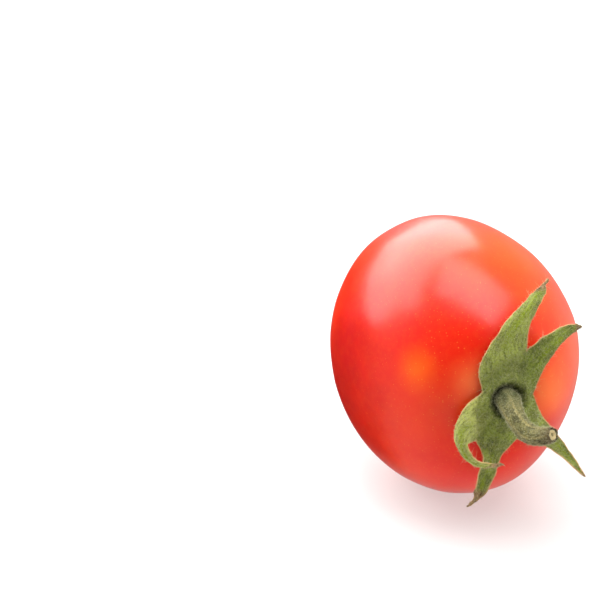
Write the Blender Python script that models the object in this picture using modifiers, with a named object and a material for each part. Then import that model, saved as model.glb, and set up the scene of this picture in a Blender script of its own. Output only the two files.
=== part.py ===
"""A plum tomato lying on its side, with its calyx and its cut stalk.

Metres, +Z up. The fruit rests on a small flat spot and the origin is the middle of that spot. The
stem end faces -Y and is tilted up a little. Everything is modelled round the fruit's own axis: its
+Z runs out of the stem end and its +Y is the fruit's upper side. Places on the calyx are given as
a reach from that axis, a clock angle (0 at the upper side, clockwise as seen from the stem end)
and a rise above the plane in which the sepals start.
"""

import math

import bmesh
import bpy
import numpy as np

MM = 0.001

# Fruit
FRUIT_LENGTH = 0.065  # stem end to blossom end
FRUIT_WIDTH = 0.052
FRUIT_HEIGHT = 0.060
AXIS_TILT = math.radians(9)  # how far the stem end points up
SPOT_WIDTH = 0.0128  # flat resting spot, across the fruit
CAVITY_DEPTH = 0.0024  # shallow hollow round the stalk
CAVITY_RADIUS = 0.008

# Calyx and stalk
RECEPTACLE_DIAMETER = 0.0084
RECEPTACLE_CROWN = 0.0012  # how far its top stands above the plane of the sepals
SEPAL_REACH = 0.0284  # axis to the tip of the longest sepal
SEPAL_THICKNESS = 0.0006
SEPAL_CROWNING = 0.1  # rise of a sepal's middle as a share of its width
PEDICEL_DIAMETER = 0.0053
PEDICEL_LENGTH = 0.0126  # along the fruit's axis, bend and all
GAP = 0.0003  # between neighbouring pieces

# Where neighbouring sepals part: clock angle, and how far beyond the receptacle they stay joined.
SINUSES = {
    "left": (295, 1.1 * MM),
    "top": (27, 6.6 * MM),
    "right": (90, 1.6 * MM),
    "bottom": (166, 5.2 * MM),
    "hook": (220, 6.1 * MM),
}

# Each sepal lies clockwise from its first sinus to its second. Its two edges run from there to the
# tip through points of (share of SEPAL_REACH, clock angle, rise in millimetres).
SEPALS = {
    "sepal_upper": {
        "sinuses": ("left", "top"),
        "first_edge": [(0.32, 320, 0.3), (0.46, 348, 0.3), (0.65, 9, -1.2), (0.85, 24, -3.5)],
        "second_edge": [(0.54, 22, -0.2), (0.75, 26, -2.0), (0.85, 27.5, -3.4)],
        "tip": (0.92, 26, -4.2),
    },
    "sepal_upper_right": {
        "sinuses": ("top", "right"),
        "first_edge": [(0.55, 35, 1.0), (0.65, 40, 1.2), (0.73, 46, 0.6)],
        "second_edge": [(0.39, 55, 0.6), (0.58, 50, 0.8), (0.71, 51, 0.2)],
        "tip": (0.77, 54, -0.6),
    },
    "sepal_lower_right": {
        "sinuses": ("right", "bottom"),
        "first_edge": [(0.30, 117, 0.2), (0.43, 127, 0.0), (0.61, 132, -0.6), (0.91, 137.5, -1.8)],
        "second_edge": [(0.51, 145, -0.2), (0.67, 141, -0.8), (0.94, 139.5, -2.0)],
        "tip": (1.0, 139, -2.2),
    },
    "sepal_lower": {
        "sinuses": ("bottom", "hook"),
        "first_edge": [(0.43, 184, 0.2), (0.62, 189, -0.4), (0.81, 196, -1.0)],
        "second_edge": [(0.45, 205, 0.2), (0.69, 200, -0.8), (0.80, 199, -1.2)],
        "tip": (0.87, 201, -1.2),
    },
    "sepal_curled": {
        "sinuses": ("hook", "left"),
        "first_edge": [(0.44, 232, 3.6), (0.475, 216, 4.2), (0.455, 203, 4.4)],
        "second_edge": [(0.35, 265, 1.0), (0.47, 244, 1.6), (0.52, 226, 2.2), (0.52, 208, 3.2)],
        "tip": (0.455, 190, 4.2),
    },
}
WEB_ROWS = 3  # rows of a sepal's mesh before its sinuses
BLADE_ROWS = 12  # and from there to its tip
SEPAL_COLUMNS = 4

# The stalk's middle line as (x, y) in millimetres and share of its length, with its thickness as a
# share of the base's: out along the axis, leaning down, then turning to the side at its knuckle.
PEDICEL_ROUTE = [
    (0.0, 0.0, 0.04, 1.0),
    (-0.2, -0.7, 0.17, 0.92),
    (0.1, -3.0, 0.45, 0.80),
    (1.6, -4.8, 0.62, 0.84),
    (3.2, -4.7, 0.80, 0.76),
    (4.6, -3.7, 1.0, 0.62),
]
PEDICEL_POINTS = 16


def new_material(name, color, roughness):
    material = bpy.data.materials.new(name)
    material.use_nodes = True
    shader = material.node_tree.nodes["Principled BSDF"]
    shader.inputs["Base Color"].default_value = (*color, 1.0)
    shader.inputs["Roughness"].default_value = roughness
    shader.inputs["Metallic"].default_value = 0.0
    material.diffuse_color = (*color, 1.0)
    return material


def add_piece(name, data, material, collection, parent):
    piece = bpy.data.objects.new(name, data)
    data.materials.append(material)
    collection.objects.link(piece)
    piece.parent = parent
    return piece


def finish_mesh(bm, name):
    """The bmesh as a smoothly shaded mesh."""
    mesh = bpy.data.meshes.new(name)
    bm.to_mesh(mesh)
    bm.free()
    mesh.shade_smooth()
    return mesh


def smooth_path(points, count):
    """count + 1 points on a smooth curve through points, spaced by the distance between them."""
    points = np.array(points, float)
    steps = np.linalg.norm(np.diff(points[:, :3], axis=0), axis=1)
    along = np.concatenate([[0], np.cumsum(steps)])
    slopes = np.gradient(points, along, axis=0)
    path = []
    for place in np.linspace(0, along[-1], count + 1):
        i = min(np.searchsorted(along, place, side="right") - 1, len(steps) - 1)
        t = (place - along[i]) / steps[i]
        path.append(
            (2 * t**3 - 3 * t**2 + 1) * points[i]
            + (3 * t**2 - 2 * t**3) * points[i + 1]
            + (t**3 - 2 * t**2 + t) * steps[i] * slopes[i]
            + (t**3 - t**2) * steps[i] * slopes[i + 1]
        )
    return path


def cavity_drop(reach):
    return CAVITY_DEPTH * math.exp(-((reach / CAVITY_RADIUS) ** 2))


def skin_height(x, y):
    """Height of the stem half's skin over (x, y), along the fruit's axis; 0 outside the fruit."""
    inside = 1 - (2 * x / FRUIT_WIDTH) ** 2 - (2 * y / FRUIT_HEIGHT) ** 2
    if inside <= 0:
        return 0.0
    return FRUIT_LENGTH / 2 * math.sqrt(inside) - cavity_drop(math.hypot(x, y))


def sepal_plane():
    """Height of the plane where the sepals start: just clear of the highest skin by the stalk."""
    crest = max(skin_height(reach, 0) for reach in np.linspace(0, CAVITY_RADIUS, 40))
    return crest + GAP + SEPAL_THICKNESS / 2


def calyx_point(reach, clock, rise):
    angle = math.radians(clock)
    return np.array([reach * math.sin(angle), reach * math.cos(angle), sepal_plane() + rise])


def make_fruit_axis(collection):
    """The empty that holds the fruit's own axes, placed so that the flat spot lies on z = 0."""
    half_length, half_height = FRUIT_LENGTH / 2, FRUIT_HEIGHT / 2
    sine, cosine = math.sin(AXIS_TILT), math.cos(AXIS_TILT)
    drop = math.hypot(half_height * cosine, half_length * sine)
    kept = math.sqrt(1 - (SPOT_WIDTH / FRUIT_WIDTH) ** 2)
    forward = (half_length**2 - half_height**2) * sine * cosine / drop
    axis = bpy.data.objects.new("fruit_axis", None)
    axis.empty_display_size = half_length
    axis.location = (0, -forward * kept, drop * kept)
    axis.rotation_euler = (math.pi / 2 - AXIS_TILT, 0, 0)
    collection.objects.link(axis)
    return axis


def make_fruit(collection, cutters, parent):
    """An egg-smooth fruit with a shallow hollow at the stalk, cut flat where it rests."""
    bm = bmesh.new()
    bmesh.ops.create_uvsphere(bm, u_segments=48, v_segments=32, radius=0.5)
    bmesh.ops.scale(bm, vec=(FRUIT_WIDTH, FRUIT_HEIGHT, FRUIT_LENGTH), verts=bm.verts)
    for vertex in bm.verts:
        if vertex.co.z > 0:
            vertex.co.z -= cavity_drop(math.hypot(vertex.co.x, vertex.co.y))
    skin = new_material("ripe_skin", (0.78, 0.05, 0.02), 0.25)
    fruit = add_piece("fruit", finish_mesh(bm, "fruit"), skin, collection, parent)

    side = 2 * FRUIT_LENGTH
    ground = bmesh.new()
    bmesh.ops.create_cube(ground, size=side)
    bmesh.ops.translate(ground, vec=(0, 0, -side / 2), verts=ground.verts)
    cutter = bpy.data.objects.new("ground_cutter", finish_mesh(ground, "ground_cutter"))
    cutter.hide_render = True
    cutter.display_type = "WIRE"
    cutters.objects.link(cutter)
    cut = fruit.modifiers.new("flat_spot", "BOOLEAN")
    cut.operation = "DIFFERENCE"
    cut.object = cutter


def make_receptacle(green, collection, parent):
    """The turned disc in the hollow: sepals spring from its rim and the stalk from its top."""
    rim = RECEPTACLE_DIAMETER / 2
    plane = sepal_plane()
    seat = (PEDICEL_DIAMETER / 2 + rim) / 2
    profile = [
        (0, plane + RECEPTACLE_CROWN),
        (seat, plane + RECEPTACLE_CROWN),
        (0.6 * rim + 0.4 * seat, plane + 0.8 * RECEPTACLE_CROWN),
        (rim, plane + SEPAL_THICKNESS / 2),
        (rim, plane - SEPAL_THICKNESS / 2),
        (0.7 * rim, plane - SEPAL_THICKNESS / 2),
        (0, skin_height(0, 0) + GAP),
    ]
    bm = bmesh.new()
    points = [bm.verts.new((x, 0, z)) for x, z in profile]
    for upper, lower in zip(points, points[1:]):
        bm.edges.new((upper, lower))
    receptacle = add_piece("receptacle", finish_mesh(bm, "receptacle"), green, collection, parent)
    turn = receptacle.modifiers.new("turn", "SCREW")
    turn.steps = 32
    turn.render_steps = 32
    turn.use_merge_vertices = True
    turn.merge_threshold = 0.00001


def sepal_edge(sinus, turn, edge, tip):
    """An edge from the receptacle a gap beside the seam, then free to the tip."""
    clock, web = SINUSES[sinus]
    start = RECEPTACLE_DIAMETER / 2 + GAP
    beside = np.array([math.cos(math.radians(clock)), -math.sin(math.radians(clock)), 0])
    shift = turn * GAP * beside
    inner = calyx_point(start, clock, 0) + shift
    parting = calyx_point(start + web, clock, 0) + shift
    free = [calyx_point(share * SEPAL_REACH, at, rise * MM) for share, at, rise in (*edge, tip)]
    seam = [inner + (parting - inner) * row / WEB_ROWS for row in range(WEB_ROWS)]
    return seam + smooth_path([parting, *free], BLADE_ROWS)


def make_sepal(name, shape, green, collection, parent):
    """A crowned blade between its two edges, kept clear of the skin, thickened both ways.

    Its rows curve round the axis, as the receptacle's rim does.
    """
    sinuses, tip = shape["sinuses"], shape["tip"]
    first = sepal_edge(sinuses[0], 1, shape["first_edge"], tip)
    second = sepal_edge(sinuses[1], -1, shape["second_edge"], tip)
    along = np.gradient((np.array(first) + np.array(second)) / 2, axis=0)
    least = GAP + SEPAL_THICKNESS / 2
    bm = bmesh.new()
    rows = []
    for left, right, ahead in zip(first, second, along):
        crown = SEPAL_CROWNING * np.cross(right - left, ahead / np.linalg.norm(ahead))
        row = []
        for column in range(SEPAL_COLUMNS + 1):
            share = column / SEPAL_COLUMNS
            point = left + (right - left) * share
            reach = math.hypot(*left[:2]) * (1 - share) + math.hypot(*right[:2]) * share
            point[:2] *= reach / math.hypot(*point[:2])
            point += crown * 4 * share * (1 - share)
            point[2] = max(point[2], skin_height(point[0], point[1]) + least)
            row.append(bm.verts.new(point))
        rows.append(row)
    for inner, outer in zip(rows, rows[1:]):
        for column in range(SEPAL_COLUMNS):
            bm.faces.new((inner[column], inner[column + 1], outer[column + 1], outer[column]))
    bmesh.ops.remove_doubles(bm, verts=rows[-1], dist=0.00001)
    sepal = add_piece(name, finish_mesh(bm, name), green, collection, parent)
    wall = sepal.modifiers.new("thickness", "SOLIDIFY")
    wall.thickness = SEPAL_THICKNESS
    wall.offset = 0


def make_pedicel(green, collection, parent):
    """The cut stalk, standing on the receptacle and bending at its knuckle."""
    base = sepal_plane() + RECEPTACLE_CROWN + GAP
    route = [(x * MM, y * MM, base + rise * PEDICEL_LENGTH, thick) for x, y, rise, thick in PEDICEL_ROUTE]
    path = [(0, 0, base, 1.0), *smooth_path(route, PEDICEL_POINTS)]
    curve = bpy.data.curves.new("pedicel", "CURVE")
    curve.dimensions = "3D"
    curve.bevel_depth = PEDICEL_DIAMETER / 2
    curve.bevel_resolution = 3
    curve.use_fill_caps = True
    spline = curve.splines.new("POLY")
    spline.points.add(len(path) - 1)
    for point, (x, y, z, thick) in zip(spline.points, path):
        point.co = (x, y, z, 1)
        point.radius = thick
    add_piece("pedicel", curve, green, collection, parent)


def main():
    for old in list(bpy.data.objects):
        bpy.data.objects.remove(old)
    collection = bpy.data.collections.new("tomato")
    cutters = bpy.data.collections.new("cutters")
    bpy.context.scene.collection.children.link(collection)
    bpy.context.scene.collection.children.link(cutters)

    axis = make_fruit_axis(collection)
    make_fruit(collection, cutters, axis)
    calyx_green = new_material("calyx_green", (0.12, 0.19, 0.05), 0.7)
    stalk_green = new_material("stalk_green", (0.17, 0.20, 0.08), 0.7)
    make_receptacle(calyx_green, collection, axis)
    for name, shape in SEPALS.items():
        make_sepal(name, shape, calyx_green, collection, axis)
    make_pedicel(stalk_green, collection, axis)


main()
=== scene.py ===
import math

import bmesh
import bpy
import numpy as np
from mathutils import Euler, Matrix, Vector, noise
from mathutils.bvhtree import BVHTree


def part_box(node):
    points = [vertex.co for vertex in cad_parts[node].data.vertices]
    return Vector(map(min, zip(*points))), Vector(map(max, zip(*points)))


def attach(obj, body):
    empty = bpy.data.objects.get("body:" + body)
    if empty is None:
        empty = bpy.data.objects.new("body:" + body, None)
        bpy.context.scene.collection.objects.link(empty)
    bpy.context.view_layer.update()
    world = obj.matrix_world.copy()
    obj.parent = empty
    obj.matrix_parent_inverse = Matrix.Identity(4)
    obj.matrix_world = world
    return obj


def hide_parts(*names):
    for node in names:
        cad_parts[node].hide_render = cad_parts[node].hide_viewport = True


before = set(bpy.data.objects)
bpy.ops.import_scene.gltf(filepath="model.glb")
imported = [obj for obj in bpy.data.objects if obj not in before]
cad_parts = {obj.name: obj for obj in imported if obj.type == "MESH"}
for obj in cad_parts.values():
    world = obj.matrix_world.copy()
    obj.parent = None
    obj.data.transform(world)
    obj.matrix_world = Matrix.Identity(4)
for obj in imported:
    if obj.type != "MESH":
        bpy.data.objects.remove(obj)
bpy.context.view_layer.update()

MM = 0.001

# --- Fruit --------------------------------------------------------------------------------------
# One berry of flesh, gel and seeds under a thin, waxy skin. It grew round its own axis, from the
# stalk to the scar of the flower, in slight lobes, and it is pressed a little flat where it lies.

FRUIT_LENGTH = 65 * MM
FRUIT_HEIGHT = 60 * MM
FRUIT_TILT = math.radians(9)
fruit_low, fruit_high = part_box("fruit")
FRUIT_WIDTH = fruit_high.x - fruit_low.x
fruit_rise = math.hypot(FRUIT_HEIGHT / 2 * math.cos(FRUIT_TILT), FRUIT_LENGTH / 2 * math.sin(FRUIT_TILT))
fruit_back = math.hypot(FRUIT_LENGTH / 2 * math.cos(FRUIT_TILT), FRUIT_HEIGHT / 2 * math.sin(FRUIT_TILT))
FRUIT_TURN = Euler((math.pi / 2 - FRUIT_TILT, 0, 0))
FRUIT_MIDDLE = Vector((0, fruit_high.y - fruit_back, fruit_high.z - fruit_rise))
FRUIT_AXES = Matrix.Translation(FRUIT_MIDDLE) @ FRUIT_TURN.to_matrix().to_4x4()
FRUIT_LOBES = ((3, 0.38 * MM, 78), (4, 0.22 * MM, -7))  # how many round the fruit, height, clock angle


def linear(colour):
    """An sRGB hex colour as linear RGBA."""
    parts = [int(colour[i : i + 2], 16) / 255 for i in (1, 3, 5)]
    return (*(c / 12.92 if c <= 0.04045 else ((c + 0.055) / 1.055) ** 2.4 for c in parts), 1.0)


def add(tree, kind, links=None, **settings):
    """Adds a node. Its links name its inputs, each a value, a node (its first output) or a socket."""
    node = tree.nodes.new(kind)
    for name, value in settings.items():
        setattr(node, name, value)
    for name, value in (links or {}).items():
        if isinstance(value, bpy.types.Node):
            value = value.outputs[0]
        if isinstance(value, bpy.types.NodeSocket):
            tree.links.new(value, node.inputs[name])
        else:
            node.inputs[name].default_value = value
    return node


def node_tree(name, sizes):
    """A Geometry Nodes tree with geometry in and out and a named input for each size."""
    tree = bpy.data.node_groups.new(name, "GeometryNodeTree")
    tree.interface.new_socket("Geometry", in_out="INPUT", socket_type="NodeSocketGeometry")
    tree.interface.new_socket("Geometry", in_out="OUTPUT", socket_type="NodeSocketGeometry")
    for size in sizes:
        tree.interface.new_socket(size, in_out="INPUT", socket_type="NodeSocketFloat")
    return tree, add(tree, "NodeGroupInput").outputs


def finish_tree(tree, geometry, material):
    realized = add(tree, "GeometryNodeRealizeInstances", {"Geometry": geometry})
    smooth = add(tree, "GeometryNodeSetShadeSmooth", {"Geometry": realized})
    painted = add(tree, "GeometryNodeSetMaterial", {"Geometry": smooth, "Material": material})
    add(tree, "NodeGroupOutput", {"Geometry": painted})


def grown(name, tree, sizes, base):
    """The plain mesh object that a tree makes of a base mesh."""
    carrier = bpy.data.objects.new(name + "_carrier", base)
    bpy.context.scene.collection.objects.link(carrier)
    modifier = carrier.modifiers.new("nodes", "NODES")
    modifier.node_group = tree
    for item in tree.interface.items_tree:
        if item.in_out == "INPUT" and item.name in sizes:
            modifier[item.identifier] = sizes[item.name]
    graph = bpy.context.evaluated_depsgraph_get()
    mesh = bpy.data.meshes.new_from_object(
        carrier.evaluated_get(graph), preserve_all_data_layers=True, depsgraph=graph
    )
    bpy.data.objects.remove(carrier)
    return shown(name, mesh)


def shown(name, mesh):
    mesh.name = name
    piece = bpy.data.objects.new(name, mesh)
    bpy.context.scene.collection.objects.link(piece)
    return piece


def new_material(name):
    """A material with its tree and shader."""
    material = bpy.data.materials.new(name)
    material.use_nodes = True
    return material, material.node_tree, material.node_tree.nodes["Principled BSDF"]


def fruit_coordinates(tree):
    """Object coordinates turned to the fruit's own axes, with Z out of the stem end."""
    place = add(tree, "ShaderNodeTexCoord").outputs["Object"]
    return add(
        tree, "ShaderNodeMapping", {"Vector": place, "Location": FRUIT_MIDDLE, "Rotation": FRUIT_TURN},
        vector_type="TEXTURE",
    )


# Ripe tomato skin: a clear, waxy film over red flesh. The light goes a few millimetres into the
# flesh, so the red glows, and the film mirrors broad, slightly blurred highlights. Unevenly
# ripened places are orange, and golden specks up to 0.3 mm wide dust it, most of all near the stalk.
# Its left side is a deeper red that is partly painted shade, and the pale orange beside the calyx
# is partly a painted highlight.
skin, tree, shader = new_material("ripe_tomato_skin")
on_fruit = fruit_coordinates(tree)
ripeness = add(tree, "ShaderNodeTexNoise", {"Vector": on_fruit, "Scale": 1 / (22 * MM), "Detail": 2.0})
ripe_share = add(tree, "ShaderNodeMapRange", {"Value": ripeness, "From Min": 0.3, "From Max": 0.7})
colour = add(
    tree, "ShaderNodeMix", {0: ripe_share, 6: linear("#e61c04"), 7: linear("#f43a06")}, data_type="RGBA"
)
flesh = colour.outputs[2]
# Places that ripened differently, some partly painted shade or highlight: colour, where
# (x, y, z in millimetres), radius, strength.
for tone, spot, radius, strength in (
    # Deeper red on the left side: partly the skin's own crimson, partly painted shade.
    ("#cc0408", (-25, 9, 3), 18, 0.95),
    ("#b00206", (-26, -8, -2), 24, 0.85),
    ("#f2540a", (12, 24, 14), 18, 0.85),
    ("#f25008", (20, 4, 20), 17, 0.9),
    ("#ea1e04", (-6, 13, 28), 9, 0.8),
    ("#ff6000", (-16.6, 6.3, 23.8), 5.5, 0.95),
    # Pale orange beside the calyx: partly orange skin, partly a painted highlight.
    ("#ff7438", (-7.5, 4.5, 30.8), 6, 0.8),
    ("#ee3c06", (-13, 1, 28), 7, 0.6),
    # Pale orange beside the calyx: partly orange skin, partly a painted highlight.
    ("#ff7630", (11, -1, 30), 9, 0.85),
):
    distance = add(
        tree, "ShaderNodeVectorMath", {0: on_fruit, 1: [c * MM for c in spot]}, operation="DISTANCE"
    )
    wobble = add(
        tree, "ShaderNodeTexNoise", {"Vector": on_fruit, "Scale": 1 / (7 * MM), "Detail": 3.0}
    )
    reach = add(
        tree, "ShaderNodeMath", {0: wobble, 1: -0.6 * radius * MM, 2: distance.outputs["Value"]},
        operation="MULTIPLY_ADD",
    )
    share = add(
        tree, "ShaderNodeMapRange",
        {"Value": reach, "From Min": 0.9 * radius * MM, "From Max": -0.3 * radius * MM,
         "To Min": 0.0, "To Max": strength},
        interpolation_type="SMOOTHSTEP",
    )
    patch = add(tree, "ShaderNodeMix", {0: share, 6: flesh, 7: linear(tone)}, data_type="RGBA")
    flesh = patch.outputs[2]
mottle = add(
    tree, "ShaderNodeTexNoise",
    {"Vector": on_fruit, "Scale": 1 / (1.2 * MM), "Detail": 4.0, "Roughness": 0.75},
)
mottle_share = add(
    tree, "ShaderNodeMapRange",
    {"Value": mottle, "From Min": 0.45, "From Max": 0.75, "To Min": 0.0, "To Max": 0.15},
)
mottled = add(tree, "ShaderNodeMix", {0: mottle_share, 6: flesh, 7: linear("#fa6a18")}, data_type="RGBA")
stem_end = add(
    tree, "ShaderNodeVectorMath", {0: on_fruit, 1: (0, 0, FRUIT_LENGTH / 2)}, operation="DISTANCE"
)
near_stem = add(
    tree, "ShaderNodeMapRange",
    {"Value": stem_end.outputs["Value"], "From Min": 40 * MM, "From Max": 8 * MM,
     "To Min": 0.2, "To Max": 0.95},
)
SPECK_SPACING = 0.55 * MM
cells = add(tree, "ShaderNodeTexVoronoi", {"Vector": on_fruit, "Scale": 1 / SPECK_SPACING})
lone = add(tree, "ShaderNodeSeparateColor", {0: cells.outputs["Color"]})
width = add(
    tree, "ShaderNodeMapRange",
    {"Value": lone, "From Min": 0.3, "From Max": 1.0, "To Min": 0.02, "To Max": 0.28},
)
speck = add(
    tree, "ShaderNodeMapRange",
    {"Value": cells.outputs["Distance"], "From Min": width, "From Max": 0.0, "To Min": 0.0, "To Max": 1.0},
)
speck_share = add(tree, "ShaderNodeMath", {0: speck, 1: near_stem}, operation="MULTIPLY")
speckled = add(
    tree, "ShaderNodeMix", {0: speck_share, 6: mottled.outputs[2], 7: linear("#ffac50")}, data_type="RGBA"
)
flower_end = add(
    tree, "ShaderNodeVectorMath", {0: on_fruit, 1: (0, 0, -FRUIT_LENGTH / 2)}, operation="DISTANCE"
)
scar = add(
    tree, "ShaderNodeMapRange",
    {"Value": flower_end.outputs["Value"], "From Min": 1.3 * MM, "From Max": 0.7 * MM},
)
scarred = add(
    tree, "ShaderNodeMix", {0: scar, 6: speckled.outputs[2], 7: linear("#6a4426")}, data_type="RGBA"
)
tree.links.new(scarred.outputs[2], shader.inputs["Base Color"])
film = add(
    tree, "ShaderNodeTexNoise", {"Vector": on_fruit, "Scale": 1 / (6 * MM), "Detail": 1.0}
)
gloss = add(
    tree, "ShaderNodeMapRange",
    {"Value": film, "From Min": 0.2, "From Max": 0.8, "To Min": 0.29, "To Max": 0.36},
)
tree.links.new(gloss.outputs[0], shader.inputs["Roughness"])
grain = add(
    tree, "ShaderNodeTexNoise", {"Vector": on_fruit, "Scale": 1 / (0.5 * MM), "Detail": 2.0}
)
relief = add(
    tree, "ShaderNodeBump", {"Height": grain, "Distance": 0.01 * MM, "Strength": 0.35}
)
tree.links.new(relief.outputs[0], shader.inputs["Normal"])
shader.inputs["IOR"].default_value = 1.45
shader.inputs["Subsurface Weight"].default_value = 0.3
shader.inputs["Subsurface Radius"].default_value = (1.0, 0.25, 0.1)
shader.inputs["Subsurface Scale"].default_value = 3 * MM
shader.inputs["Coat Weight"].default_value = 0.12
shader.inputs["Coat Roughness"].default_value = 0.14

tree, sizes = node_tree(
    "plum_fruit",
    ("Width", "Height", "Length", "Hollow Depth", "Hollow Radius", "Scar Depth", "Scar Radius", "Dents"),
)
SKIN_POINTS = 91  # along each edge of the cube that is blown up to the fruit
cube = add(
    tree, "GeometryNodeMeshCube",
    {"Size": (2, 2, 2), "Vertices X": SKIN_POINTS, "Vertices Y": SKIN_POINTS, "Vertices Z": SKIN_POINTS},
)
unit = add(
    tree, "ShaderNodeVectorMath", {0: add(tree, "GeometryNodeInputPosition")}, operation="NORMALIZE"
)
unit_parts = add(tree, "ShaderNodeSeparateXYZ", {0: unit})
clock = add(tree, "ShaderNodeMath", {0: unit_parts.outputs[0], 1: unit_parts.outputs[1]}, operation="ARCTAN2")
dents = add(tree, "ShaderNodeTexNoise", {"Vector": unit, "Scale": 1.7, "Detail": 1.0})
dent = add(tree, "ShaderNodeMath", {0: dents, 1: 0.5}, operation="SUBTRACT")
swell = add(tree, "ShaderNodeMath", {0: dent, 1: sizes["Dents"]}, operation="MULTIPLY")
for count, height, peak in FRUIT_LOBES:
    turn = add(
        tree, "ShaderNodeMath", {0: clock, 1: count, 2: -count * math.radians(peak)}, operation="MULTIPLY_ADD"
    )
    wave = add(tree, "ShaderNodeMath", {0: turn}, operation="COSINE")
    swell = add(tree, "ShaderNodeMath", {0: wave, 1: height, 2: swell}, operation="MULTIPLY_ADD")
sideways = add(tree, "ShaderNodeVectorMath", {0: unit, 1: (1, 1, 0)}, operation="MULTIPLY")
lobing = add(tree, "ShaderNodeVectorMath", {0: sideways, "Scale": swell}, operation="SCALE")
whole = add(tree, "ShaderNodeCombineXYZ", {0: sizes["Width"], 1: sizes["Height"], 2: sizes["Length"]})
half = add(tree, "ShaderNodeVectorMath", {0: whole, "Scale": 0.5}, operation="SCALE")
body = add(tree, "ShaderNodeVectorMath", {0: unit, 1: half, 2: lobing}, operation="MULTIPLY_ADD")
from_axis = add(
    tree, "ShaderNodeVectorMath",
    {0: add(tree, "ShaderNodeVectorMath", {0: body, 1: (1, 1, 0)}, operation="MULTIPLY")},
    operation="LENGTH",
)
sunk = 0.0
for end, side in (("Hollow", 1), ("Scar", -1)):
    share = add(
        tree, "ShaderNodeMath", {0: from_axis.outputs["Value"], 1: sizes[end + " Radius"]}, operation="DIVIDE"
    )
    square = add(tree, "ShaderNodeMath", {0: share, 1: share}, operation="MULTIPLY")
    fall = add(tree, "ShaderNodeMath", {0: square, 1: -1}, operation="MULTIPLY")
    bell = add(tree, "ShaderNodeMath", {0: fall}, operation="EXPONENT")
    deep = add(tree, "ShaderNodeMath", {0: bell, 1: sizes[end + " Depth"]}, operation="MULTIPLY")
    facing = add(tree, "ShaderNodeMath", {0: unit_parts.outputs[2], 1: side}, operation="MULTIPLY")
    here = add(tree, "ShaderNodeMath", {0: facing, 1: 0}, operation="GREATER_THAN")
    signed = add(tree, "ShaderNodeMath", {0: here, 1: -side}, operation="MULTIPLY")
    sunk = add(tree, "ShaderNodeMath", {0: deep, 1: signed, 2: sunk}, operation="MULTIPLY_ADD")
formed = add(
    tree, "ShaderNodeVectorMath", {0: body, 1: add(tree, "ShaderNodeCombineXYZ", {2: sunk})}, operation="ADD"
)
blown = add(tree, "GeometryNodeSetPosition", {"Geometry": cube, "Position": formed})
laid = add(
    tree, "GeometryNodeTransform", {"Geometry": blown, "Translation": FRUIT_MIDDLE, "Rotation": FRUIT_TURN}
)
resting = add(tree, "ShaderNodeSeparateXYZ", {0: add(tree, "GeometryNodeInputPosition")})
pressed = add(
    tree, "ShaderNodeMath", {0: resting.outputs[2], 1: 0.0, 2: 0.3 * MM}, operation="SMOOTH_MAX"
)
flat = add(
    tree, "ShaderNodeCombineXYZ", {0: resting.outputs[0], 1: resting.outputs[1], 2: pressed}
)
rested = add(tree, "GeometryNodeSetPosition", {"Geometry": laid, "Position": flat})
finish_tree(tree, rested, skin)
fruit = grown(
    "tomato_fruit", tree,
    {
        "Width": FRUIT_WIDTH, "Height": FRUIT_HEIGHT, "Length": FRUIT_LENGTH,
        "Hollow Depth": 2.4 * MM, "Hollow Radius": 8 * MM,
        "Scar Depth": 0.5 * MM, "Scar Radius": 2.5 * MM, "Dents": 1.2 * MM,
    },
    bpy.data.meshes.new("seed"),
)
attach(fruit, "root")
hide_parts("fruit")

# --- Calyx --------------------------------------------------------------------------------------
# Five sepals and the receptacle they grow from, one thin green leaf with a swollen ring round the
# stalk. The sepals part at their sinuses, dry from the tips and the margins, and one has curled.

CALYX_RING = 4.5 * MM  # where the sepals leave the receptacle, from the axis
LONGEST_SEPAL = 28.4 * MM
SEPAL_THICKNESS = 0.6 * MM
COLUMNS = 10
RING_REACHES = (2.2 * MM, 2.7 * MM, 3.1 * MM, 3.5 * MM, 4.0 * MM)
WEB_ROWS = 5
BLADE_ROWS = 34
# Where neighbouring sepals part: clock angle and how far beyond the ring.
SINUSES = {
    "left": (295, 1.1 * MM),
    "top": (27, 6.6 * MM),
    "right": (90, 1.6 * MM),
    "bottom": (166, 5.2 * MM),
    "hook": (220, 6.1 * MM),
}
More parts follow.
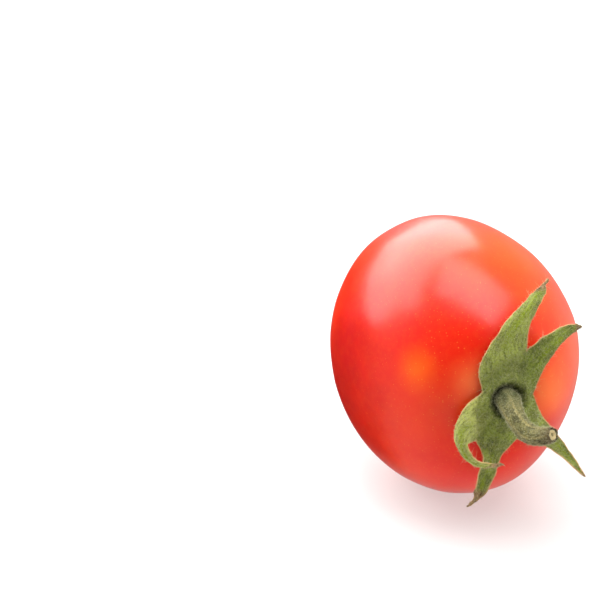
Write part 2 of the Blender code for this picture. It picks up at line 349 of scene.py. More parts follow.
# Each sepal's sinuses, its edges and tip as (share of LONGEST_SEPAL, clock angle, rise in
# millimetres), how far back its tip has dried, how its width is arched (below 0 it is a channel),
# and how pale it is.
SEPALS = {
    "sepal_upper": (
        ("left", "top"),
        [(0.32, 320, 0.3), (0.46, 348, 0.3), (0.65, 9, -1.2), (0.85, 24, -3.5)],
        [(0.54, 22, -0.2), (0.75, 26, -2.0), (0.85, 27.5, -3.4)],
        (0.92, 26, -4.2),
        0.12, 0.10, 0.55,
    ),
    "sepal_upper_right": (
        ("top", "right"),
        [(0.55, 35, 1.0), (0.65, 40, 1.2), (0.73, 46, 0.6)],
        [(0.39, 55, 0.6), (0.58, 50, 0.8), (0.71, 51, 0.2)],
        (0.77, 54, -0.6),
        0.13, 0.14, 0.3,
    ),
    "sepal_lower_right": (
        ("right", "bottom"),
        [(0.30, 117, 0.2), (0.43, 127, 0.0), (0.61, 132, -0.6), (0.91, 137.5, -1.8)],
        [(0.51, 145, -0.2), (0.67, 141, -0.8), (0.94, 139.5, -2.0)],
        (1.0, 139, -2.2),
        0.05, -0.25, 0.5,
    ),
    "sepal_lower": (
        ("bottom", "hook"),
        [(0.43, 184, 0.2), (0.62, 189, -0.4), (0.81, 196, -1.0)],
        [(0.45, 205, 0.2), (0.69, 200, -0.8), (0.80, 199, -1.2)],
        (0.87, 201, -1.2),
        0.20, -0.25, 0.42,
    ),
    "sepal_curled": (
        ("hook", "left"),
        [(0.44, 232, 3.6), (0.475, 216, 4.2), (0.455, 203, 4.4)],
        [(0.35, 265, 1.0), (0.47, 244, 1.6), (0.52, 226, 2.2), (0.52, 208, 3.2)],
        (0.455, 190, 4.2),
        0.16, 0.14, 1.0,
    ),
}
to_fruit = FRUIT_AXES.inverted()
receptacle_top = max((to_fruit @ v.co).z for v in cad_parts["receptacle"].data.vertices)
RECEPTACLE_CROWN = 1.2 * MM  # how far its top stands above the plane of the sepals
SEPAL_PLANE = receptacle_top - RECEPTACLE_CROWN


def smooth_path(points, count):
    """count + 1 points on a smooth curve through points, spaced by the distance between them."""
    points = np.array(points, float)
    steps = np.linalg.norm(np.diff(points[:, :3], axis=0), axis=1)
    along = np.concatenate([[0], np.cumsum(steps)])
    slopes = np.gradient(points, along, axis=0)
    path = []
    for place in np.linspace(0, along[-1], count + 1):
        i = min(np.searchsorted(along, place, side="right") - 1, len(steps) - 1)
        t = (place - along[i]) / steps[i]
        path.append(
            (2 * t**3 - 3 * t**2 + 1) * points[i]
            + (3 * t**2 - 2 * t**3) * points[i + 1]
            + (t**3 - 2 * t**2 + t) * steps[i] * slopes[i]
            + (t**3 - t**2) * steps[i] * slopes[i + 1]
        )
    return np.array(path)


def calyx_point(reach, clock_angle, rise):
    angle = math.radians(clock_angle)
    return np.array([reach * math.sin(angle), reach * math.cos(angle), SEPAL_PLANE + rise])


def sepal_edge(sinus, edge, tip):
    """An edge from the ring along the seam to the sinus, then free to the tip."""
    at, web = SINUSES[sinus]
    inner, parting = calyx_point(CALYX_RING, at, 0), calyx_point(CALYX_RING + web, at, 0)
    free = [
        calyx_point(share * LONGEST_SEPAL, angle, rise * MM) for share, angle, rise in (*edge, tip)
    ]
    seam = [inner + (parting - inner) * row / WEB_ROWS for row in range(WEB_ROWS)]
    return np.concatenate([seam, smooth_path([parting, *free], BLADE_ROWS)])


sheet = bmesh.new()
along_layer = sheet.verts.layers.float.new("along")
across_layer = sheet.verts.layers.float.new("across")
rim_layer = sheet.verts.layers.float.new("rim")
dry_layer = sheet.verts.layers.float.new("dry")
half_layer = sheet.verts.layers.float.new("half")
pale_layer = sheet.verts.layers.float.new("pale")
for sinuses, first_edge, second_edge, tip, dried, arch, pale in SEPALS.values():
    first = sepal_edge(sinuses[0], first_edge, tip)
    second = sepal_edge(sinuses[1], second_edge, tip)
    free = np.concatenate([first[WEB_ROWS:], second[WEB_ROWS:]])
    middle = (first + second) / 2
    ahead = np.gradient(middle, axis=0)
    travelled = np.concatenate([[0], np.cumsum(np.linalg.norm(np.diff(middle, axis=0), axis=1))])
    first_clock, second_clock = SINUSES[sinuses[0]][0], SINUSES[sinuses[1]][0]
    second_clock += 360 * (second_clock < first_clock)
    rows = []
    for reach in RING_REACHES:
        row = []
        for column in range(COLUMNS + 1):
            share = column / COLUMNS
            clock_angle = first_clock + (second_clock - first_clock) * share
            vertex = sheet.verts.new(calyx_point(reach, clock_angle, 0))
            vertex[across_layer] = 2 * share - 1
            vertex[rim_layer] = 5 * MM
            vertex[dry_layer] = -1
            vertex[half_layer] = 3 * MM
            vertex[pale_layer] = 0.4
            row.append(vertex)
        rows.append(row)
    for place, (left, right) in enumerate(zip(first, second)):
        side = right - left
        bend = 0.1 + (arch - 0.1) * min(1, max(0, travelled[place] / travelled[-1] * 2.5 - 0.5))
        crown = bend * np.cross(side, ahead[place] / np.linalg.norm(ahead[place]))
        row = []
        for column in range(COLUMNS + 1):
            share = column / COLUMNS
            point = left + side * share
            reach = math.hypot(*left[:2]) * (1 - share) + math.hypot(*right[:2]) * share
            point[:2] *= reach / math.hypot(*point[:2])
            point += crown * 4 * share * (1 - share)
            vertex = sheet.verts.new(point)
            vertex[along_layer] = travelled[place] / travelled[-1]
            vertex[across_layer] = 2 * share - 1
            vertex[rim_layer] = np.linalg.norm(free - point, axis=1).min()
            vertex[dry_layer] = travelled[place] / travelled[-1] - (1 - dried)
            vertex[half_layer] = max(np.linalg.norm(side) / 2, 0.3 * MM)
            vertex[pale_layer] = 0.4 + (pale - 0.4) * min(1, travelled[place] / travelled[-1] * 6)
            row.append(vertex)
        rows.append(row)
    for inner, outer in zip(rows, rows[1:]):
        for column in range(COLUMNS):
            sheet.faces.new((inner[column], inner[column + 1], outer[column + 1], outer[column]))
bmesh.ops.remove_doubles(sheet, verts=sheet.verts, dist=0.002 * MM)

# The ring round the stalk and the pit inside it: height or depth, distance from the axis, breadth.
SWELLING, SWELLING_AT, SWELLING_BREADTH = 1.15 * MM, 4.4 * MM, 1.1 * MM
PIT, PIT_AT, PIT_BREADTH = 0.9 * MM, 2.8 * MM, 0.5 * MM
OFF_SKIN = 0.55 * MM  # least height of a sepal's middle above the skin
fruit_skin = BVHTree.FromPolygons(
    [to_fruit @ v.co for v in fruit.data.vertices], [p.vertices[:] for p in fruit.data.polygons]
)
noise.seed_set(5)  # without a seed, noise_vector would draw differently each time
for vertex in sheet.verts:
    reach = math.hypot(vertex.co.x, vertex.co.y)
    vertex.co.z += SWELLING * math.exp(-(((reach - SWELLING_AT) / SWELLING_BREADTH) ** 2))
    vertex.co.z -= PIT * math.exp(-(((reach - PIT_AT) / PIT_BREADTH) ** 2))
    free_share = vertex[along_layer]
    at_edge = math.exp(-vertex[rim_layer] / (0.8 * MM))
    wave = noise.noise(vertex.co / (6 * MM)) * 0.6 * MM * free_share
    ripple = noise.noise(vertex.co / (2.2 * MM)) * (0.2 + 0.5 * at_edge) * MM * min(1, free_share * 2)
    crumple = noise.noise_vector(vertex.co / (1.1 * MM)) * 0.45 * MM * (vertex[dry_layer] > 0)
    nick = noise.noise_vector(vertex.co / (1.3 * MM)) * 0.16 * MM * at_edge * (free_share > 0)
    seam_valley = 0.35 * MM * max(0, abs(vertex[across_layer]) * 4 - 3) * (vertex[rim_layer] > 0.3 * MM)
    vertex.co += nick + crumple
    vertex.co.z += wave + ripple - seam_valley * (reach > 4.6 * MM)
    spot, facing, _, _ = fruit_skin.find_nearest(vertex.co)
    clear = (vertex.co - spot).dot(facing)
    vertex.co += facing * max(0, OFF_SKIN - clear)
sheet_mesh = bpy.data.meshes.new("calyx_sheet")
sheet.to_mesh(sheet_mesh)
sheet.free()
carrier = shown("calyx_carrier", sheet_mesh)
thick = carrier.vertex_groups.new(name="thick")
for vertex, rim in zip(sheet_mesh.vertices, sheet_mesh.attributes["rim"].data):
    thick.add([vertex.index], min(1, rim.value / (1.5 * MM)), "REPLACE")
wall = carrier.modifiers.new("wall", "SOLIDIFY")
wall.thickness = SEPAL_THICKNESS
wall.offset = 0
wall.vertex_group = "thick"
wall.thickness_vertex_group = 0.35  # the margins are this share as thick
rounded = carrier.modifiers.new("rounded", "SUBSURF")
rounded.levels = 2
rounded.render_levels = 2
graph = bpy.context.evaluated_depsgraph_get()
calyx_mesh = bpy.data.meshes.new_from_object(
    carrier.evaluated_get(graph), preserve_all_data_layers=True, depsgraph=graph
)
bpy.data.objects.remove(carrier)


def values(mesh, name):
    """A vertex attribute's values as an array."""
    found = np.empty(len(mesh.vertices), np.float32)
    mesh.attributes[name].data.foreach_get("value", found)
    return found


def move_out(mesh, heights):
    """Moves each vertex along its normal."""
    points = np.empty(3 * len(mesh.vertices), np.float32)
    normals = np.empty_like(points)
    mesh.vertices.foreach_get("co", points)
    mesh.vertex_normals.foreach_get("vector", normals)
    points += normals * np.repeat(heights, 3)
    mesh.vertices.foreach_set("co", points)
    mesh.update()


# Raised veins: a midrib and two pairs beside it that fade to the tip, and fine puckers between.
across, along, half = (values(calyx_mesh, name) for name in ("across", "along", "half"))
rim, dry = values(calyx_mesh, "rim"), values(calyx_mesh, "dry")
relief_height = np.zeros(len(across))
for place, height, vein_width in (
    (0, 0.16 * MM, 0.30 * MM), (0.36, 0.07 * MM, 0.2 * MM), (0.68, 0.05 * MM, 0.18 * MM)
):
    away = (np.abs(across) - place) * half
    relief_height += height * np.exp(-((away / vein_width) ** 2)) * (along > 0) * (1 - 0.6 * along)
puckers = np.array([
    noise.noise(v.co / (0.7 * MM)) + 0.6 * noise.noise(v.co / (0.3 * MM)) for v in calyx_mesh.vertices
])
relief_height += puckers * (0.035 + 0.10 * (dry > 0)) * MM * np.clip(along * 8, 0, 1)
move_out(calyx_mesh, relief_height)
calyx_mesh.transform(FRUIT_AXES)
calyx_mesh.shade_smooth()

# Tomato leaf: soft, matte green tissue, deeper between the veins and yellow-green along the middle,
# dull with hairs. Its cut-thin margins and its tips have dried to tan and brown.
leaf, tree, shader = new_material("hairy_tomato_leaf")
on_leaf = fruit_coordinates(tree)
across_leaf, along_leaf, rim_leaf, dry_leaf, half_leaf, pale_leaf = (
    add(tree, "ShaderNodeAttribute", attribute_name=name).outputs["Fac"]
    for name in ("across", "along", "rim", "dry", "half", "pale")
)
patches = add(tree, "ShaderNodeTexNoise", {"Vector": on_leaf, "Scale": 1 / (3 * MM), "Detail": 4.0})
patch_share = add(tree, "ShaderNodeMapRange", {"Value": patches, "From Min": 0.4, "From Max": 0.6})
green = add(
    tree, "ShaderNodeMix", {0: patch_share, 6: linear("#394c0d"), 7: linear("#7a9026")}, data_type="RGBA"
)
tinted = add(
    tree, "ShaderNodeMix", {0: pale_leaf, 6: green.outputs[2], 7: linear("#bfc56a")}, data_type="RGBA"
)
aside = add(tree, "ShaderNodeMath", {0: across_leaf, 1: half_leaf}, operation="MULTIPLY")
lengthwise = add(tree, "ShaderNodeMath", {0: along_leaf, 1: 4 * MM}, operation="MULTIPLY")
grainwise = add(tree, "ShaderNodeCombineXYZ", {0: aside, 1: lengthwise, 2: pale_leaf})
fibres = add(
    tree, "ShaderNodeTexNoise",
    {"Vector": grainwise, "Scale": 1 / (0.6 * MM), "Detail": 4.0, "Roughness": 0.7},
)
fibre_share = add(
    tree, "ShaderNodeMapRange",
    {"Value": fibres, "From Min": 0.42, "From Max": 0.62, "To Min": 0, "To Max": 0.6},
)
fibred = add(
    tree, "ShaderNodeMix", {0: fibre_share, 6: tinted.outputs[2], 7: linear("#37400b")}, data_type="RGBA"
)
to_side = add(tree, "ShaderNodeMath", {0: across_leaf}, operation="ABSOLUTE")
streak_noise = add(tree, "ShaderNodeTexNoise", {"Vector": on_leaf, "Scale": 1 / (2 * MM), "Detail": 3.0})
streak_place = add(
    tree, "ShaderNodeMath", {0: streak_noise, 1: 1.0, 2: to_side}, operation="MULTIPLY_ADD"
)
streak = add(
    tree, "ShaderNodeMapRange",
    {"Value": streak_place, "From Min": 0.9, "From Max": 0.45, "To Min": 0, "To Max": 0.85},
    interpolation_type="SMOOTHSTEP",
)
outward = add(tree, "ShaderNodeMapRange", {"Value": along_leaf, "From Min": 0.2, "From Max": 0.45})
streak_share = add(tree, "ShaderNodeMath", {0: streak, 1: outward}, operation="MULTIPLY")
streaked = add(
    tree, "ShaderNodeMix", {0: streak_share, 6: fibred.outputs[2], 7: linear("#8a9c12")}, data_type="RGBA"
)
fine = add(
    tree, "ShaderNodeTexNoise", {"Vector": on_leaf, "Scale": 1 / (0.45 * MM), "Detail": 4.0, "Roughness": 0.8}
)
dark_grain = add(
    tree, "ShaderNodeMapRange", {"Value": fine, "From Min": 0.5, "From Max": 0.38, "To Min": 0, "To Max": 0.5}
)
grained = add(
    tree, "ShaderNodeMix", {0: dark_grain, 6: streaked.outputs[2], 7: linear("#2f360c")}, data_type="RGBA"
)
fine_share = add(
    tree, "ShaderNodeMapRange",
    {"Value": fine, "From Min": 0.53, "From Max": 0.68, "To Min": 0, "To Max": 0.4},
)
bloom = add(
    tree, "ShaderNodeMix", {0: fine_share, 6: grained.outputs[2], 7: linear("#bfc56c")}, data_type="RGBA"
)
# Painted shade: a very dark green in the pit round the stalk, where the stalk and the swollen ring shade it.
from_axis = add(
    tree, "ShaderNodeVectorMath",
    {0: add(tree, "ShaderNodeVectorMath", {0: on_leaf, 1: (1, 1, 0)}, operation="MULTIPLY")},
    operation="LENGTH",
)
pit_shade_edge = add(
    tree, "ShaderNodeMath", {0: patches, 1: -3.0 * MM, 2: from_axis.outputs["Value"]},
    operation="MULTIPLY_ADD",
)
painted_pit_shade = add(
    tree, "ShaderNodeMapRange", {"Value": pit_shade_edge, "From Min": 2.9 * MM, "From Max": 1.4 * MM, "To Max": 0.9}
)
pit_shaded = add(
    tree, "ShaderNodeMix", {0: painted_pit_shade, 6: bloom.outputs[2], 7: linear("#232608")}, data_type="RGBA"
)
margin_width = add(
    tree, "ShaderNodeMapRange",
    {"Value": fine, "From Min": 0.35, "From Max": 0.65, "To Min": 0.16 * MM, "To Max": 0.5 * MM},
)
margin = add(
    tree, "ShaderNodeMapRange",
    {"Value": rim_leaf, "From Min": margin_width, "From Max": 0.05 * MM, "To Max": 0.85},
)
edged = add(
    tree, "ShaderNodeMix", {0: margin, 6: pit_shaded.outputs[2], 7: linear("#d8b078")}, data_type="RGBA"
)
drying = add(tree, "ShaderNodeMath", {0: patches, 1: 0.12, 2: dry_leaf}, operation="MULTIPLY_ADD")
dried_share = add(tree, "ShaderNodeMapRange", {"Value": drying, "From Min": 0.02, "From Max": 0.08})
fresh_tone = add(
    tree, "ShaderNodeMapRange",
    {"Value": pale_leaf, "From Min": 0.25, "From Max": 0.45, "To Min": 0.25, "To Max": 1.0},
)
dry_tone = add(
    tree, "ShaderNodeMapRange", {"Value": fine, "From Min": 0.35, "From Max": 0.6, "To Max": fresh_tone}
)
brown = add(
    tree, "ShaderNodeMix", {0: dry_tone, 6: linear("#4a3319"), 7: linear("#c3a274")}, data_type="RGBA"
)
dried_leaf = add(
    tree, "ShaderNodeMix", {0: dried_share, 6: edged.outputs[2], 7: brown.outputs[2]}, data_type="RGBA"
)
tree.links.new(dried_leaf.outputs[2], shader.inputs["Base Color"])
height = add(tree, "ShaderNodeMath", {0: fibres, 1: 1.0, 2: fine}, operation="MULTIPLY_ADD")
pores = add(tree, "ShaderNodeBump", {"Height": height, "Distance": 0.12 * MM, "Strength": 0.8})
tree.links.new(pores.outputs[0], shader.inputs["Normal"])
shader.inputs["Roughness"].default_value = 0.6
shader.inputs["IOR"].default_value = 1.4
shader.inputs["Specular IOR Level"].default_value = 0.35
shader.inputs["Subsurface Weight"].default_value = 0.1
shader.inputs["Subsurface Radius"].default_value = (0.5, 1.0, 0.2)
shader.inputs["Subsurface Scale"].default_value = 0.4 * MM
calyx_mesh.materials.clear()
calyx_mesh.materials.append(leaf)
calyx = shown("tomato_calyx", calyx_mesh)
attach(calyx, "root")
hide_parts("receptacle", *SEPALS)

# --- Stalk --------------------------------------------------------------------------------------
# The pedicel that the fruit hung from: a ridged, hairy, woody-green stem rooted in the ring, bent
# at its knuckle and cut through just beyond it, where pale wood shows round a dark pith.

STALK_DIAMETER = 4.95 * MM
STALK_LENGTH = 12.6 * MM  # along the fruit's axis
STALK_SIDES = 48
STALK_ROWS = 60
# Its middle line as (x, y) in millimetres, share of its length, and thickness as a share.
STALK_ROUTE = [
    (0.0, 0.0, 0.04, 1.0),
    (-0.2, -0.7, 0.17, 0.92),
    (0.1, -3.0, 0.45, 0.80),
    (1.6, -4.8, 0.62, 0.84),
    (3.2, -4.7, 0.80, 0.76),
    (4.6, -3.7, 1.0, 0.62),
]
stalk_base = SEPAL_PLANE + 1.5 * MM  # just above the ring
route = smooth_path(
    [(x * MM, y * MM, stalk_base + up * STALK_LENGTH, thickness) for x, y, up, thickness in STALK_ROUTE],
    STALK_ROWS,
)
root = np.array([(0, 0, SEPAL_PLANE - 0.2 * MM, 0.98), (0, 0, SEPAL_PLANE + 0.7 * MM, 0.95)])
route = np.concatenate([root, route])
# Rings of the cut end: share of the radius and how far they sink along the stalk.
CUT_RINGS = (
    (0.96, -0.12 * MM), (0.86, -0.1 * MM), (0.76, 0.12 * MM), (0.7, 0.1 * MM),
    (0.5, 0.06 * MM), (0.26, 0.1 * MM), (0.18, 0.5 * MM), (0.05, 0.6 * MM),
)
stalk_mesh = bmesh.new()
cut_layer = stalk_mesh.verts.layers.float.new("cut")
up_layer = stalk_mesh.verts.layers.float.new("up")
rib_layer = stalk_mesh.verts.layers.float.new("rib")
tangents = np.gradient(route[:, :3], axis=0)
tangents /= np.linalg.norm(tangents, axis=1)[:, None]
side = np.array([1.0, 0, 0])
rings = []
for row, (point, tangent) in enumerate(zip(route, tangents)):
    side = side - tangent * side.dot(tangent)
    side /= np.linalg.norm(side)
    other = np.cross(tangent, side)
    ends = [(1.0, 0.0, 0.0)]
    if row == len(route) - 1:
        ends += [(share, sink, 1.0 - share) for share, sink in CUT_RINGS]
    for share, sink, cut in ends:
        ring = []
        for step in range(STALK_SIDES):
            angle = 2 * math.pi * step / STALK_SIDES
            way = side * math.cos(angle) + other * math.sin(angle)
            knobbly = 0.07 * noise.noise(Vector(way * 1.3 + row / 9))
            knobbly += 0.06 * noise.noise(Vector(way * 3 + row / 3))
            rib = math.cos(5 * angle + 3.7 + row / 25)
            ridges = 0.035 * rib + 0.012 * math.cos(9 * angle)
            radius = STALK_DIAMETER / 2 * point[3] * (1 + knobbly + ridges) * share
            ragged = 0.5 * MM * noise.noise(Vector(way * 2.2)) * (share > 0.8) * (row > len(route) - 4)
            vertex = stalk_mesh.verts.new(point[:3] + way * radius - tangent * (sink + ragged))
            vertex[cut_layer] = cut
            vertex[up_layer] = row / len(route)
            vertex[rib_layer] = rib
            ring.append(vertex)
        rings.append(ring)
for lower, upper in zip(rings, rings[1:]):
    for step in range(STALK_SIDES):
        after = (step + 1) % STALK_SIDES
        stalk_mesh.faces.new((lower[step], lower[after], upper[after], upper[step]))
stalk_mesh.faces.new(reversed(rings[0]))
stalk_mesh.faces.new(rings[-1])
bmesh.ops.recalc_face_normals(stalk_mesh, faces=stalk_mesh.faces)
stalk_data = bpy.data.meshes.new("stalk")
stalk_mesh.to_mesh(stalk_data)
stalk_mesh.free()
stalk_data.transform(FRUIT_AXES)
stalk_data.shade_smooth()

# Tomato stalk: olive-green rind over wood, streaked along its length and rubbed brown near the cut.
# Its pale ridges are partly painted highlight, and its dark root is partly painted shade from the pit.
# The cut face is dry, fibrous, cream-coloured wood inside a torn dark rind.
rind, tree, shader = new_material("woody_tomato_stalk")
place = add(tree, "ShaderNodeTexCoord").outputs["Object"]
up_stalk = add(tree, "ShaderNodeAttribute", attribute_name="up").outputs["Fac"]
cut_stalk = add(tree, "ShaderNodeAttribute", attribute_name="cut").outputs["Fac"]
rib_stalk = add(tree, "ShaderNodeAttribute", attribute_name="rib").outputs["Fac"]
blotch = add(tree, "ShaderNodeTexNoise", {"Vector": place, "Scale": 1 / (2.0 * MM), "Detail": 4.0})
blotch_share = add(tree, "ShaderNodeMapRange", {"Value": blotch, "From Min": 0.38, "From Max": 0.62})
olive = add(
    tree, "ShaderNodeMix", {0: blotch_share, 6: linear("#504e1e"), 7: linear("#8b8548")}, data_type="RGBA"
)
fine = add(
    tree, "ShaderNodeTexNoise", {"Vector": place, "Scale": 1 / (0.4 * MM), "Detail": 4.0, "Roughness": 0.8}
)
dark_grain = add(
    tree, "ShaderNodeMapRange",
    {"Value": fine, "From Min": 0.52, "From Max": 0.38, "To Min": 0, "To Max": 0.85},
)
grained = add(
    tree, "ShaderNodeMix", {0: dark_grain, 6: olive.outputs[2], 7: linear("#35300f")}, data_type="RGBA"
)
dust_share = add(
    tree, "ShaderNodeMapRange",
    {"Value": fine, "From Min": 0.53, "From Max": 0.68, "To Min": 0, "To Max": 0.6},
)
dusted = add(
    tree, "ShaderNodeMix", {0: dust_share, 6: grained.outputs[2], 7: linear("#c9bd85")}, data_type="RGBA"
)
# Darker green towards the root: partly the stalk's own green, partly painted shade from the pit.
root_tone_and_shade = add(
    tree, "ShaderNodeMapRange", {"Value": up_stalk, "From Min": 0.25, "From Max": 0.05, "To Max": 0.7}
)
# Pale tan along the ridges: partly the stalk's own pale ribs, partly a painted highlight.
rib_noise = add(tree, "ShaderNodeMath", {0: fine, 1: 1.5, 2: rib_stalk}, operation="MULTIPLY_ADD")
rib_tone_and_highlight = add(
    tree, "ShaderNodeMapRange", {"Value": rib_noise, "From Min": 1.3, "From Max": 1.9, "To Max": 0.6}
)
ribbed_and_highlighted = add(
    tree, "ShaderNodeMix", {0: rib_tone_and_highlight, 6: dusted.outputs[2], 7: linear("#b5a566")}, data_type="RGBA"
)
root_toned_and_shaded = add(
    tree, "ShaderNodeMix", {0: root_tone_and_shade, 6: ribbed_and_highlighted.outputs[2], 7: linear("#3c4312")}, data_type="RGBA"
)
rub_place = add(tree, "ShaderNodeMath", {0: blotch, 1: 0.45, 2: up_stalk}, operation="MULTIPLY_ADD")
rub = add(tree, "ShaderNodeMapRange", {"Value": rub_place, "From Min": 0.95, "From Max": 1.2, "To Max": 0.85})
rubbed = add(tree, "ShaderNodeMix", {0: rub, 6: root_toned_and_shaded.outputs[2], 7: linear("#5d4c26")}, data_type="RGBA")
face = add(tree, "ShaderNodeMapRange", {"Value": cut_stalk, "From Min": 0.2, "From Max": 0.3})
wood = add(tree, "ShaderNodeMix", {0: fine, 6: linear("#a88a52"), 7: linear("#ecd9a4")}, data_type="RGBA")
faced = add(tree, "ShaderNodeMix", {0: face, 6: rubbed.outputs[2], 7: wood.outputs[2]}, data_type="RGBA")
torn = add(tree, "ShaderNodeMath", {0: blotch, 1: 0.35, 2: cut_stalk}, operation="MULTIPLY_ADD")
ring_in = add(tree, "ShaderNodeMapRange", {"Value": cut_stalk, "From Min": 0.0, "From Max": 0.03})
ring_out = add(tree, "ShaderNodeMapRange", {"Value": torn, "From Min": 0.52, "From Max": 0.46})
bark_ring = add(tree, "ShaderNodeMath", {0: ring_in, 1: ring_out}, operation="MULTIPLY")
ringed = add(
    tree, "ShaderNodeMix", {0: bark_ring, 6: faced.outputs[2], 7: linear("#4a3a1e")}, data_type="RGBA"
)
pith = add(tree, "ShaderNodeMapRange", {"Value": cut_stalk, "From Min": 0.74, "From Max": 0.8, "To Max": 0.9})
pithed = add(tree, "ShaderNodeMix", {0: pith, 6: ringed.outputs[2], 7: linear("#6e5a30")}, data_type="RGBA")
tree.links.new(pithed.outputs[2], shader.inputs["Base Color"])
pores = add(tree, "ShaderNodeBump", {"Height": fine, "Distance": 0.08 * MM, "Strength": 0.7})
tree.links.new(pores.outputs[0], shader.inputs["Normal"])
shader.inputs["Roughness"].default_value = 0.7
shader.inputs["Sheen Weight"].default_value = 0.1
stalk_data.materials.append(rind)
stalk = shown("tomato_stalk", stalk_data)
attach(stalk, "root")
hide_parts("pedicel")

# --- Hairs --------------------------------------------------------------------------------------
# Fine, straight, colourless hairs on the calyx and the stalk: a dense down of up to 0.7 mm and a few
# hairs of up to 2 mm. Each is a thin cone rooted in the surface at a random place and lean.

# Plant hair: a hollow, clear cell that scatters the light, so that it looks white.
down, tree, shader = new_material("clear_plant_hair")
shade = add(
    tree, "ShaderNodeTexNoise",
    {"Vector": add(tree, "ShaderNodeTexCoord").outputs["Object"], "Scale": 1 / (2 * MM), "Detail": 1.0},
)
pale = add(tree, "ShaderNodeMix", {0: shade, 6: linear("#a5a86a"), 7: linear("#e4e2c0")}, data_type="RGBA")
tree.links.new(pale.outputs[2], shader.inputs["Base Color"])
shader.inputs["Roughness"].default_value = 0.45

tree, sizes = node_tree("plant_hairs", ("Per Square Metre", "Length", "Thickness", "Lean"))
HAIR_SEED = 7
roots = add(
    tree, "GeometryNodeDistributePointsOnFaces",
    {"Mesh": sizes["Geometry"], "Density": sizes["Per Square Metre"], "Seed": HAIR_SEED},
)
hair = add(
    tree, "GeometryNodeMeshCone",
    {"Vertices": 3, "Side Segments": 1, "Radius Top": 0.0, "Radius Bottom": sizes["Thickness"],
     "Depth": sizes["Length"]},
)
back = add(tree, "ShaderNodeMath", {0: sizes["Lean"], 1: -1}, operation="MULTIPLY")
lean = add(
    tree, "FunctionNodeRandomValue",
    {
        0: add(tree, "ShaderNodeCombineXYZ", {0: back, 1: back, 2: 0}),
        1: add(tree, "ShaderNodeCombineXYZ", {0: sizes["Lean"], 1: sizes["Lean"], 2: 3.0}),
        "Seed": HAIR_SEED,
    },
    data_type="FLOAT_VECTOR",
)
stretch = add(
    tree, "FunctionNodeRandomValue", {2: 0.35, 3: 1.0, "Seed": HAIR_SEED + 1}, data_type="FLOAT"
)
planted = add(
    tree, "GeometryNodeInstanceOnPoints",
    {"Points": roots, "Instance": hair, "Rotation": roots.outputs["Rotation"],
     "Scale": add(tree, "ShaderNodeCombineXYZ", {0: 1, 1: 1, 2: stretch.outputs[1]})},
)
tilted = add(tree, "GeometryNodeRotateInstances", {"Instances": planted, "Rotation": lean})
finish_tree(tree, tilted, down)
for bare, name, slot_name, density, hair_length, thickness in (
    (calyx, "calyx_down", "calyx", 11e6, 0.7 * MM, 0.02 * MM),
    (calyx, "calyx_hairs", "calyx", 0.9e6, 2.0 * MM, 0.025 * MM),
    (stalk, "stalk_down", "stalk", 16e6, 0.6 * MM, 0.02 * MM),
    (stalk, "stalk_hairs", "stalk", 0.8e6, 1.6 * MM, 0.025 * MM),
):
    hairs = grown(
        name, tree,
        {"Per Square Metre": density, "Length": hair_length, "Thickness": thickness, "Lean": 1.0},
        bare.data.copy(),
    )
    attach(hairs, "root")

# --- Table, light and camera --------------------------------------------------------------------
# A round, pale table under a long overhead softbox, with a wide one behind and a low fill on the
# right, in a pale room that is dark at the back left. White paper hangs beyond it on all sides.

TABLE_RADIUS = 0.9  # metres
table_mesh = bmesh.new()
bmesh.ops.create_circle(table_mesh, cap_ends=True, segments=96, radius=TABLE_RADIUS)
table_data = bpy.data.meshes.new("table")
table_mesh.to_mesh(table_data)
table_mesh.free()
# Matte card that glows faintly, so that it comes out white and its shadow stays light
white, _, shader = new_material("matte_white_table")
shader.inputs["Base Color"].default_value = linear("#b0afae")
shader.inputs["Roughness"].default_value = 0.9
shader.inputs["Emission Color"].default_value = linear("#fffdfc")
shader.inputs["Emission Strength"].default_value = 0.5
table_data.materials.append(white)
table = shown("table", table_data)
table.visible_glossy = False

BACKDROP_RADIUS = 4.0  # metres
wall_mesh = bmesh.new()
bmesh.ops.create_icosphere(wall_mesh, subdivisions=4, radius=BACKDROP_RADIUS)
bmesh.ops.reverse_faces(wall_mesh, faces=wall_mesh.faces)
wall_data = bpy.data.meshes.new("backdrop")
wall_mesh.to_mesh(wall_data)
wall_mesh.free()
# Evenly lit white paper, seen only directly: it lights, shades and mirrors nothing
paper, _, shader = new_material("white_backdrop_paper")
shader.inputs["Base Color"].default_value = linear("#ffffff")
shader.inputs["Emission Color"].default_value = linear("#ffffff")
shader.inputs["Emission Strength"].default_value = 1.0
wall_data.materials.append(paper)
backdrop = shown("backdrop", wall_data)
for kind in ("visible_glossy", "visible_diffuse", "visible_transmission", "visible_shadow"):
    setattr(backdrop, kind, False)

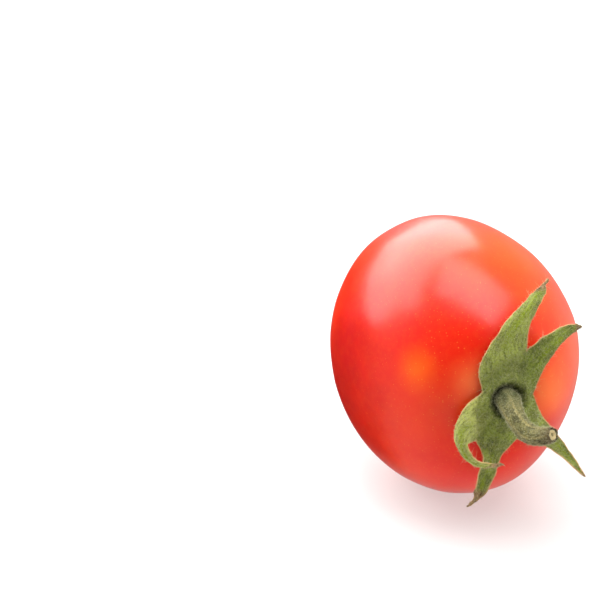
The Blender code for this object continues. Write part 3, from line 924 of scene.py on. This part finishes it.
# Lamps: place, width and height in metres, and brightness. All face the fruit.
for name, spot, size, radiance in (
    ("overhead_softbox", (0.12, -0.1, 1.03), (0.75, 1.2), 5.0),
    ("rear_softbox", (-0.33, 0.9, 0.75), (2.4, 1.15), 5.0),
    ("low_fill", (0.95, -0.45, 0.3), (0.6, 0.6), 2.4),
):
    lamp = bpy.data.lights.new(name, "AREA")
    lamp.shape = "RECTANGLE"
    lamp.size, lamp.size_y = size
    lamp.energy = radiance * math.pi * size[0] * size[1]
    light = bpy.data.objects.new(name, lamp)
    light.location = spot
    light.rotation_euler = (FRUIT_MIDDLE - Vector(spot)).to_track_quat("-Z", "Y").to_euler()
    light.visible_glossy = name != "low_fill"  # the fill makes no highlight
    bpy.context.scene.collection.objects.link(light)
# The room: brighter at the back and far right than in front, and black in its dark corner.
room = bpy.data.worlds.new("pale_room")
room.use_nodes = True
tree = room.node_tree
direction = add(tree, "ShaderNodeTexCoord").outputs["Generated"]
sides = add(tree, "ShaderNodeSeparateXYZ", {0: direction})
from_back = add(
    tree, "ShaderNodeMapRange",
    {"Value": sides.outputs[1], "From Min": -0.6, "From Max": 0.1, "To Min": 0.08, "To Max": 0.45},
)
from_right = add(
    tree, "ShaderNodeMapRange",
    {"Value": sides.outputs[0], "From Min": 0.5, "From Max": 0.95, "To Min": 0.0, "To Max": 0.3},
)
DARK_CORNER = (-0.505, 0.808, -0.303)  # towards the back left, a little below the table
to_corner = add(tree, "ShaderNodeVectorMath", {0: direction, 1: DARK_CORNER}, operation="DOT_PRODUCT")
lit_share = add(
    tree, "ShaderNodeMapRange",
    {"Value": to_corner.outputs["Value"], "From Min": 0.83, "From Max": 0.70,
     "To Min": 0.0, "To Max": 1.0},
    interpolation_type="SMOOTHSTEP",
)
both = add(tree, "ShaderNodeMath", {0: from_back, 1: from_right}, operation="ADD")
room_light = add(tree, "ShaderNodeMath", {0: both, 1: lit_share}, operation="MULTIPLY")
background = tree.nodes["Background"]
background.inputs["Color"].default_value = linear("#fffdfb")
tree.links.new(room_light.outputs[0], background.inputs["Strength"])
bpy.context.scene.world = room
bpy.context.scene.view_settings.view_transform = "Standard"

CAMERA_PLACE = FRUIT_MIDDLE + Vector((-177.3, -446.8, 257.2)) * MM
CAMERA_DOWN, CAMERA_TURN = 27, 17.7  # degrees it looks down, and to the right of straight back
FOCAL_LENGTH = 150  # millimetres
lens = bpy.data.cameras.new("camera")
lens.lens = FOCAL_LENGTH
camera = bpy.data.objects.new("camera", lens)
camera.location = CAMERA_PLACE
camera.rotation_euler = (math.radians(90 - CAMERA_DOWN), 0, math.radians(-CAMERA_TURN))
bpy.context.scene.collection.objects.link(camera)
bpy.context.scene.camera = camera
